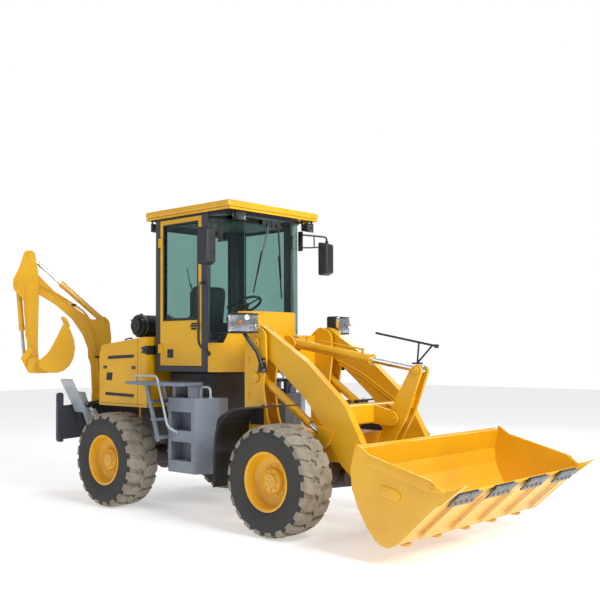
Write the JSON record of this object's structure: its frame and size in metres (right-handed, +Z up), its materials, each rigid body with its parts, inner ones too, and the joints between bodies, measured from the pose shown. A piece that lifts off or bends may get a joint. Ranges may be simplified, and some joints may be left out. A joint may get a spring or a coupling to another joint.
{
  "type": "backhoe loader",
  "caption": "Compact articulated backhoe loader: wide front bucket on lift arms, glazed cab, folded rear backhoe and raised stabilizer legs.",
  "frame": {"origin": "on the ground under the middle of the machine's overall length and width", "axes": "+X to the front, towards the loader bucket; +Y to the operator's left; +Z up"},
  "size_m": [6.8889, 2.3366, 3.371],
  "materials": {
    "machine_yellow": "satin",
    "dark_grey_paint": "satin",
    "step_grey_paint": "satin",
    "leg_grey_paint": "satin",
    "rod_chrome": "polished",
    "black_plastic": "matte",
    "tyre_rubber": "matte",
    "cab_glass": "polished",
    "cast_iron": "rough",
    "seat_fabric": "matte"
  },
  "bodies": {
    "rear_machine": {"rear_chassis": "dark_grey_paint", "rear_axle": "cast_iron", "cab_shell": "dark_grey_paint", "cab_roof": "machine_yellow", "windscreen": "cab_glass", "rear_window": "cab_glass", "left_window": "cab_glass", "front_cowl": "machine_yellow", "engine_cover": "machine_yellow", "engine": "cast_iron", "air_cleaner": "black_plastic", "stabilizer_frame": "dark_grey_paint", "steps_right": "step_grey_paint", "steps_left": "step_grey_paint", "seat": "seat_fabric", "steering_column": "black_plastic"},
    "door": {"right_door": "machine_yellow", "door_window": "cab_glass"},
    "front_machine": {"front_chassis": "machine_yellow", "front_axle": "cast_iron", "mudguard_right": "black_plastic", "mudguard_left": "black_plastic", "headlight_right": "black_plastic", "headlight_left": "black_plastic"},
    "wheel_front_right": {"wheel_front_right": "tyre_rubber"},
    "wheel_front_left": {"wheel_front_left": "tyre_rubber"},
    "wheel_rear_right": {"wheel_rear_right": "tyre_rubber"},
    "wheel_rear_left": {"wheel_rear_left": "tyre_rubber"},
    "arms": {"loader_arms": "machine_yellow"},
    "bucket": {"loader_bucket": "machine_yellow"},
    "rocker": {"rocker": "machine_yellow"},
    "link": {"bucket_link": "machine_yellow"},
    "tilt_barrel": {"tilt_barrel": "machine_yellow"},
    "tilt_rod": {"tilt_rod": "rod_chrome"},
    "lift_right_barrel": {"lift_right_barrel": "machine_yellow"},
    "lift_right_rod": {"lift_right_rod": "rod_chrome"},
    "lift_left_barrel": {"lift_left_barrel": "machine_yellow"},
    "lift_left_rod": {"lift_left_rod": "rod_chrome"},
    "leg_right": {"stabilizer_leg_right": "leg_grey_paint"},
    "pad_right": {"stabilizer_pad_right": "leg_grey_paint"},
    "stabilizer_right_barrel": {"stabilizer_right_barrel": "leg_grey_paint"},
    "stabilizer_right_rod": {"stabilizer_right_rod": "rod_chrome"},
    "leg_left": {"stabilizer_leg_left": "leg_grey_paint"},
    "pad_left": {"stabilizer_pad_left": "leg_grey_paint"},
    "stabilizer_left_barrel": {"stabilizer_left_barrel": "leg_grey_paint"},
    "stabilizer_left_rod": {"stabilizer_left_rod": "rod_chrome"},
    "swing_post": {"swing_post": "machine_yellow"},
    "boom": {"boom": "machine_yellow"},
    "dipper": {"dipper": "machine_yellow"},
    "hoe_bucket": {"hoe_bucket": "machine_yellow"},
    "boom_barrel": {"boom_barrel": "machine_yellow"},
    "boom_rod": {"boom_rod": "rod_chrome"},
    "dipper_barrel": {"dipper_barrel": "machine_yellow"},
    "dipper_rod": {"dipper_rod": "rod_chrome"},
    "hoe_barrel": {"hoe_barrel": "machine_yellow"},
    "hoe_rod": {"hoe_rod": "rod_chrome"},
    "lever": {"tipping_lever": "machine_yellow"},
    "hoe_link": {"tipping_link": "machine_yellow"}
  },
  "joints": [
    {"name": "articulation", "type": "hinge", "parent": "rear_machine", "child": "front_machine", "pos_m": [-0.1295, 0, 0.7], "axis": [0, 0, 1], "range_deg": [-35, 35]},
    {"name": "wheel_front_right_roll", "type": "hinge", "parent": "front_machine", "child": "wheel_front_right", "pos_m": [1.177, -0.879, 0.5375], "axis": [0, 1, 0], "continuous": true},
    {"name": "wheel_front_left_roll", "type": "hinge", "parent": "front_machine", "child": "wheel_front_left", "pos_m": [1.177, 0.879, 0.5375], "axis": [0, 1, 0], "continuous": true},
    {"name": "wheel_rear_right_roll", "type": "hinge", "parent": "rear_machine", "child": "wheel_rear_right", "pos_m": [-1.436, -0.879, 0.5375], "axis": [0, 1, 0], "continuous": true},
    {"name": "wheel_rear_left_roll", "type": "hinge", "parent": "rear_machine", "child": "wheel_rear_left", "pos_m": [-1.436, 0.879, 0.5375], "axis": [0, 1, 0], "continuous": true},
    {"name": "door_swing", "type": "hinge", "parent": "rear_machine", "child": "door", "pos_m": [-0.926, -0.672, 1.61], "axis": [0, 0, -1], "range_deg": [0, 105]},
    {"name": "arm_lift", "type": "hinge", "parent": "front_machine", "child": "arms", "pos_m": [0.577, 0, 1.85], "axis": [0, -1, 0], "range_deg": [0, 84]},
    {"name": "bucket_tilt", "type": "hinge", "parent": "arms", "child": "bucket", "pos_m": [2.277, 0, 0.36], "axis": [0, 1, 0], "range_deg": [0, 150]},
    {"name": "rocker_swing", "type": "hinge", "parent": "arms", "child": "rocker", "pos_m": [1.967, 0, 1.113], "axis": [0, -1, 0], "range_deg": [-0.01, 37.96]},
    {"name": "link_swing", "type": "hinge", "parent": "bucket", "child": "link", "pos_m": [2.242, 0, 0.63], "axis": [0, -1, 0], "range_deg": [-0.01, 99.92]},
    {"name": "tilt_swing", "type": "hinge", "parent": "arms", "child": "tilt_barrel", "pos_m": [0.577, 0, 1.85], "axis": [0, -1, 0], "range_deg": [-0.305, 0.01]},
    {"name": "tilt_slide", "type": "slide", "parent": "tilt_barrel", "child": "tilt_rod", "axis": [0.9869, 0, -0.1616], "range_m": [-0.34393, 0.0005]},
    {"name": "lift_right_swing", "type": "hinge", "parent": "front_machine", "child": "lift_right_barrel", "pos_m": [0.577, -0.51, 1.5], "axis": [0, -1, 0], "range_deg": [-0.01, 81.5]},
    {"name": "lift_right_slide", "type": "slide", "parent": "lift_right_barrel", "child": "lift_right_rod", "axis": [0.8321, 0, -0.5547], "range_m": [-0.0005, 0.46546]},
    {"name": "lift_left_swing", "type": "hinge", "parent": "front_machine", "child": "lift_left_barrel", "pos_m": [0.577, 0.51, 1.5], "axis": [0, -1, 0], "range_deg": [-0.01, 81.5]},
    {"name": "lift_left_slide", "type": "slide", "parent": "lift_left_barrel", "child": "lift_left_rod", "axis": [0.8321, 0, -0.5547], "range_m": [-0.0005, 0.46546]},
    {"name": "leg_right_swing", "type": "hinge", "parent": "rear_machine", "child": "leg_right", "pos_m": [-2.381, -0.41, 0.45], "axis": [1, 0, 0], "range_deg": [0, 88]},
    {"name": "pad_right_swing", "type": "hinge", "parent": "leg_right", "child": "pad_right", "pos_m": [-2.381, -0.737, 1.222], "axis": [-1, 0, 0], "range_deg": [0, 26]},
    {"name": "stabilizer_right_swing", "type": "hinge", "parent": "rear_machine", "child": "stabilizer_right_barrel", "pos_m": [-2.296, -0.33, 0.68], "axis": [1, 0, 0], "range_deg": [-0.01, 83.08]},
    {"name": "stabilizer_right_slide", "type": "slide", "parent": "stabilizer_right_barrel", "child": "stabilizer_right_rod", "axis": [0, -0.6419, 0.7668], "range_m": [-0.0005, 0.3333]},
    {"name": "leg_left_swing", "type": "hinge", "parent": "rear_machine", "child": "leg_left", "pos_m": [-2.381, 0.41, 0.45], "axis": [-1, 0, 0], "range_deg": [0, 88]},
    {"name": "pad_left_swing", "type": "hinge", "parent": "leg_left", "child": "pad_left", "pos_m": [-2.381, 0.737, 1.222], "axis": [1, 0, 0], "range_deg": [0, 26]},
    {"name": "stabilizer_left_swing", "type": "hinge", "parent": "rear_machine", "child": "stabilizer_left_barrel", "pos_m": [-2.296, 0.33, 0.68], "axis": [1, 0, 0], "range_deg": [-83.08, 0.01]},
    {"name": "stabilizer_left_slide", "type": "slide", "parent": "stabilizer_left_barrel", "child": "stabilizer_left_rod", "axis": [0, 0.6419, 0.7668], "range_m": [-0.0005, 0.3333]},
    {"name": "backhoe_swing", "type": "hinge", "parent": "rear_machine", "child": "swing_post", "pos_m": [-2.673, 0, 0.8], "axis": [0, 0, 1], "range_deg": [-148.6, 31.4]},
    {"name": "boom_lift", "type": "hinge", "parent": "swing_post", "child": "boom", "pos_m": [-2.79283, -0.19632, 1.2], "axis": [0.8536, -0.521, 0], "range_deg": [0, 95]},
    {"name": "dipper_crowd", "type": "hinge", "parent": "boom", "child": "dipper", "pos_m": [-3.24611, -0.93891, 2.7], "axis": [-0.8536, 0.521, 0], "range_deg": [0, 105]},
    {"name": "hoe_curl", "type": "hinge", "parent": "dipper", "child": "hoe_bucket", "pos_m": [-3.22162, -0.89879, 1.651], "axis": [-0.8536, 0.521, 0], "range_deg": [0, 120]},
    {"name": "boom_swing", "type": "hinge", "parent": "swing_post", "child": "boom_barrel", "pos_m": [-2.80325, -0.21339, 0.48], "axis": [-0.8536, 0.521, 0], "range_deg": [-37.8, 0.01]},
    {"name": "boom_slide", "type": "slide", "parent": "boom_barrel", "child": "boom_rod", "axis": [-0.0319, -0.0522, 0.9981], "range_m": [-0.49241, 0.0005]},
    {"name": "dipper_swing", "type": "hinge", "parent": "boom", "child": "dipper_barrel", "pos_m": [-2.76678, -0.15364, 2.171], "axis": [-0.8536, 0.521, 0], "range_deg": [-5.86, 0.01]},
    {"name": "dipper_slide", "type": "slide", "parent": "dipper_barrel", "child": "dipper_rod", "axis": [-0.3871, -0.6342, 0.6692], "range_m": [-0.47406, 0.0005]},
    {"name": "lever_swing", "type": "hinge", "parent": "dipper", "child": "lever", "pos_m": [-3.2409, -0.93037, 1.8], "axis": [-0.8536, 0.521, 0], "range_deg": [-0.01, 104.02]},
    {"name": "hoe_link_swing", "type": "hinge", "parent": "lever", "child": "hoe_link", "pos_m": [-3.28154, -0.99695, 1.688], "axis": [-0.8536, 0.521, 0], "range_deg": [-94.95, 0.01]},
    {"name": "hoe_swing", "type": "hinge", "parent": "dipper", "child": "hoe_barrel", "pos_m": [-3.32166, -1.06267, 2.635], "axis": [-0.8536, 0.521, 0], "range_deg": [-0.452, 0.01]},
    {"name": "hoe_slide", "type": "slide", "parent": "hoe_barrel", "child": "hoe_rod", "axis": [0.0422, 0.0692, -0.9967], "range_m": [-0.21553, 0.0005]}
  ],
  "couplings": [
    {"joint": "rocker_swing", "follows": "bucket_tilt", "ratio": 0.25302},
    {"joint": "link_swing", "follows": "bucket_tilt", "ratio": 0.6661},
    {"joint": "tilt_swing", "follows": "bucket_tilt", "ratio": -0.00197},
    {"joint": "tilt_slide", "follows": "bucket_tilt", "m_per_rad": -0.13118},
    {"joint": "lift_right_swing", "follows": "arm_lift", "ratio": 0.97013},
    {"joint": "lift_right_slide", "follows": "arm_lift", "m_per_rad": 0.31714},
    {"joint": "lift_left_swing", "follows": "arm_lift", "ratio": 0.97013},
    {"joint": "lift_left_slide", "follows": "arm_lift", "m_per_rad": 0.31714},
    {"joint": "stabilizer_right_swing", "follows": "leg_right_swing", "ratio": 0.944},
    {"joint": "stabilizer_right_slide", "follows": "leg_right_swing", "m_per_rad": 0.21668},
    {"joint": "stabilizer_left_swing", "follows": "leg_left_swing", "ratio": -0.944},
    {"joint": "stabilizer_left_slide", "follows": "leg_left_swing", "m_per_rad": 0.21668},
    {"joint": "boom_swing", "follows": "boom_lift", "ratio": -0.39782},
    {"joint": "boom_slide", "follows": "boom_lift", "m_per_rad": -0.29668},
    {"joint": "dipper_swing", "follows": "dipper_crowd", "ratio": -0.055725},
    {"joint": "dipper_slide", "follows": "dipper_crowd", "m_per_rad": -0.25841},
    {"joint": "lever_swing", "follows": "hoe_curl", "ratio": 0.86679},
    {"joint": "hoe_link_swing", "follows": "hoe_curl", "ratio": -0.79117},
    {"joint": "hoe_swing", "follows": "hoe_curl", "ratio": -0.003682},
    {"joint": "hoe_slide", "follows": "hoe_curl", "m_per_rad": -0.10267}
  ]
}
